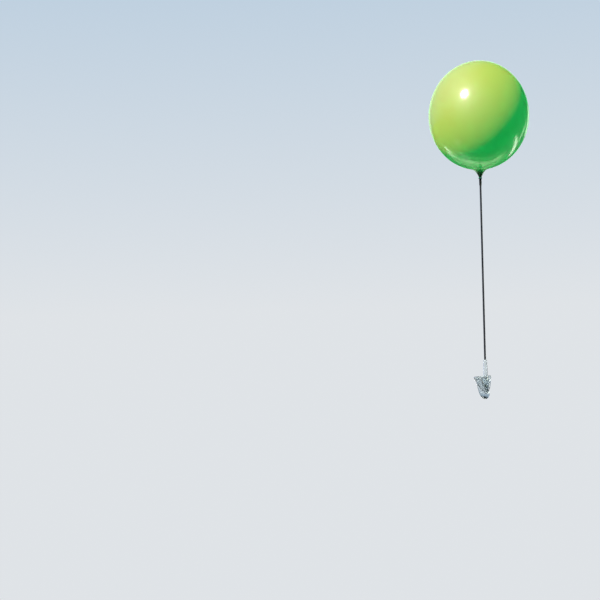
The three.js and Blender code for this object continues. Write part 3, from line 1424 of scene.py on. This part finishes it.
@dataclass
class Studio:
    """The plain floor, the backdrop, the lamps, the cards and the camera.

    The camera's rays, also those that pass through clear pieces, meet a plain pale set without a
    horizon. The key light and a dim blue dome light the pieces, so that the vinyl keeps its bright
    side and its deep green side. Mirror rays meet a darker dome with two soft patches, a striped
    floor and a few cards. The blue glare pales the upper left of the balloon, whose rim mirrors the
    pale haze.

    Angles are in degrees, the lens and sensor in millimetres, and heights of colours above the
    horizon are sines. The marks of the stripes hold a distance, as a share of stripes_far, and a
    level.
    """

    camera_at: Place = (-3.519, -2.769, 0.267)
    yaw: float = 43.302
    pitch: float = 0.454
    roll: float = -1.45
    lens: float = 72.0
    sensor: float = 36.0
    sight: float = 3000.0
    pale: Colour = (0.74, 0.77, 0.80)
    high: Colour = (0.50, 0.62, 0.74)
    high_at: float = 0.28
    floor_z: float = -1.30
    floor_size: float = 2000.0
    floor_dim: Colour = (0.002, 0.03, 0.035)
    forward: Place = (0.786, 0.618, 0.0)
    stripes_far: float = 12.0
    stripes_aside: float = 0.3
    stripes_end: Span = (3.4, 1.6)
    stripe_wobble: float = 0.7
    wobble_scale: float = 0.9
    blotch_scale: float = 1.7
    blotch_range: tuple[float, float, float, float] = (0.35, 0.65, 0.45, 1.25)
    stripe_colour: Colour = (0.88, 1.0, 0.66)
    stripe_strength: float = 3.0
    stripe_marks: tuple[Span, ...] = (
        (0.06, 0.02), (0.068, 0.3), (0.085, 0.3), (0.09, 0.08), (0.115, 0.08), (0.122, 1.05),
        (0.18, 1.05), (0.2, 0.55), (0.24, 0.5), (0.25, 0.12), (0.27, 0.12), (0.28, 0.8),
        (0.31, 0.8), (0.325, 0.06),
    )
    dome_light: Stops = (
        (0.0, (0.45, 0.75, 0.95)),
        (0.15, (0.20, 0.52, 0.82)),
        (0.7, (0.05, 0.30, 0.66)),
    )
    dome_strength: float = 0.26
    dome_mirrored: Stops = ((0.0, (0.02, 0.035, 0.02)), (0.7, (0.10, 0.14, 0.05)))
    glare: DomePatch = DomePatch((-0.051, 0.797, 0.602), 4, 58, (0.02, 0.0, 1.0), 1.15)
    haze: DomePatch = DomePatch((0.696, 0.696, 0.174), 21, 27, (0.75, 1.0, 0.95), 2.0)
    suns: tuple[SunLamp, ...] = (
        SunLamp("key", 7.4, 5.0, (-0.765, 0.045, 0.642), mirrored=False),
        SunLamp("spot", 6.8, 12.0, (-0.7874, -0.0218, 0.6137), mirrored=True),
    )
    cards: tuple[Card, ...] = (
        Card(100, -24, 40, 7, 5.0),
        Card(80, 4, 9, 16, 3.0),
        Card(98, -8, 5, 22, 2.5),
        Card(-2, -31, 5, 12, 5.0),
        Card(8, -33, 5, 12, 4.0),
        Card(-54, -46, 19, 13, 0.6),
        Card(2, -61, 34, 14, 0.6, distance=2.3),
    )

    def floor(self) -> None:
        """Lays the floor: pale to the camera, dim to the vinyl and striped in reflections."""
        deselect_all()
        bpy.ops.mesh.primitive_plane_add(size=self.floor_size, location=(0, 0, self.floor_z))
        piece = bpy.context.object
        piece.name = "floor"
        material, build, shader = new_material("pale_floor")
        dim = {"Base Color": self.floor_dim, "Roughness": 0.9, "Specular IOR Level": 0.0}
        build.feed(shader, dim)
        plain = build.add("ShaderNodeEmission", {"Color": self.pale}).outputs["Emission"]
        whole = build.by_ray(shader.outputs["BSDF"], self.stripes(build), plain)
        build.feed(material.node_tree.nodes["Material Output"], {"Surface": whole})
        piece.data.materials.append(material)

    def stripes(self, build: NodeBuilder) -> Socket:
        """Pale and dark stripes across the floor behind the balloon, for its underside to mirror.

        Args:
            build: The floor's builder.

        Returns:
            The stripes' glow.
        """
        place = build.add("ShaderNodeNewGeometry").outputs["Position"]
        wobble = build.noise(place, self.wobble_scale)
        wander = build.maths("MULTIPLY", wobble, self.stripe_wobble)
        away = build.maths("ADD", build.dot(place, self.forward), wander)
        reach = build.maths("DIVIDE", away, self.stripes_far)
        levels = build.ramp(reach, tuple((at, (level,) * 3) for at, level in self.stripe_marks))
        right = (self.forward[1], -self.forward[0], 0)
        shifted = build.maths("ADD", build.dot(place, right), self.stripes_aside)
        aside = build.maths("ADD", build.maths("ABSOLUTE", shifted), wobble)
        ends = build.map_range(aside, *self.stripes_end)
        blotches = build.noise(place, self.blotch_scale, detail=3.0)
        uneven = build.map_range(blotches, *self.blotch_range, fade=Fade.EVEN)
        bright = build.maths("MULTIPLY", levels, self.stripe_strength)
        strength = build.maths("MULTIPLY", build.maths("MULTIPLY", bright, uneven), ends)
        inputs = {"Color": self.stripe_colour, "Strength": strength}
        return build.add("ShaderNodeEmission", inputs).outputs["Emission"]

    def dome(self) -> None:
        """Makes the backdrop for the camera, and the dome for the light and the reflections."""
        world = bpy.data.worlds.new("soft_dome")
        bpy.context.scene.world = world
        world.use_nodes = True
        build = NodeBuilder(world.node_tree)
        glare_strength = build.maths("MULTIPLY", self.glare.share(build), self.glare.strength)
        glare = build.background(self.glare.colour, glare_strength)
        both = {0: build.sweep(self.dome_mirrored), 1: glare}
        glared = build.add("ShaderNodeAddShader", both).outputs["Shader"]
        haze = build.background(self.haze.colour, self.haze.strength)
        mirrored = build.blend_shaders(self.haze.share(build), glared, haze)
        light = build.sweep(self.dome_light, self.dome_strength)
        backdrop = build.sweep(((0.0, self.pale), (self.high_at, self.high)))
        whole = build.by_ray(light, mirrored, backdrop)
        build.feed(world.node_tree.nodes["World Output"], {"Surface": whole})

    def lamps(self) -> None:
        """Hangs the lamps and the cards."""
        for sun in self.suns:
            sun.hang()
        low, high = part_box("balloon")
        for card in self.cards:
            card.hang((low + high) / 2)

    def camera(self) -> None:
        """Sets the camera at the photograph's viewing angle."""
        data = bpy.data.cameras.new("camera")
        data.lens = self.lens
        data.sensor_width = self.sensor
        data.clip_end = self.sight
        camera = bpy.data.objects.new("camera", data)
        bpy.context.collection.objects.link(camera)
        turn_to = (
            Matrix.Rotation(-math.radians(self.yaw), 4, "Z")
            @ Matrix.Rotation(math.radians(90 + self.pitch), 4, "X")
            @ Matrix.Rotation(math.radians(self.roll), 4, "Z")
        )
        camera.matrix_world = Matrix.Translation(self.camera_at) @ turn_to
        bpy.context.scene.camera = camera

    def build(self) -> None:
        """Sets up everything round the object."""
        self.camera()
        self.floor()
        self.dome()
        self.lamps()
        bpy.context.scene.view_settings.view_transform = "Standard"


def main() -> None:
    """Builds the studio and every piece of the display, and reports each piece."""
    logging.basicConfig(level=logging.INFO, format="%(message)s")
    Studio().build()
    clear = ClearPlasticFinish().build()
    black = MouldedFinish(
        "black_plastic", (0.012, 0.012, 0.014), (0.06, 0.06, 0.065), Wear(200.0, 0.35, 0.6)
    )
    pale = MouldedFinish(
        "pale_plastic", (0.80, 0.83, 0.76), (0.55, 0.55, 0.48), Wear(200.0, 0.3, 0.5)
    )
    parts = (
        WindowClip(clear),
        RodPost(clear),
        PostScrew(PlatedSteelFinish().build()),
        CarrierRod(TubeFinish().build()),
        Ferrule(black.build()),
        ValvePlug(pale.build()),
        Envelope(VinylFinish().build()),
    )
    for part in parts:
        piece = part.build()
        log.info("%s: %d faces", piece.name, len(piece.data.polygons))


if __name__ == "__main__":
    main()
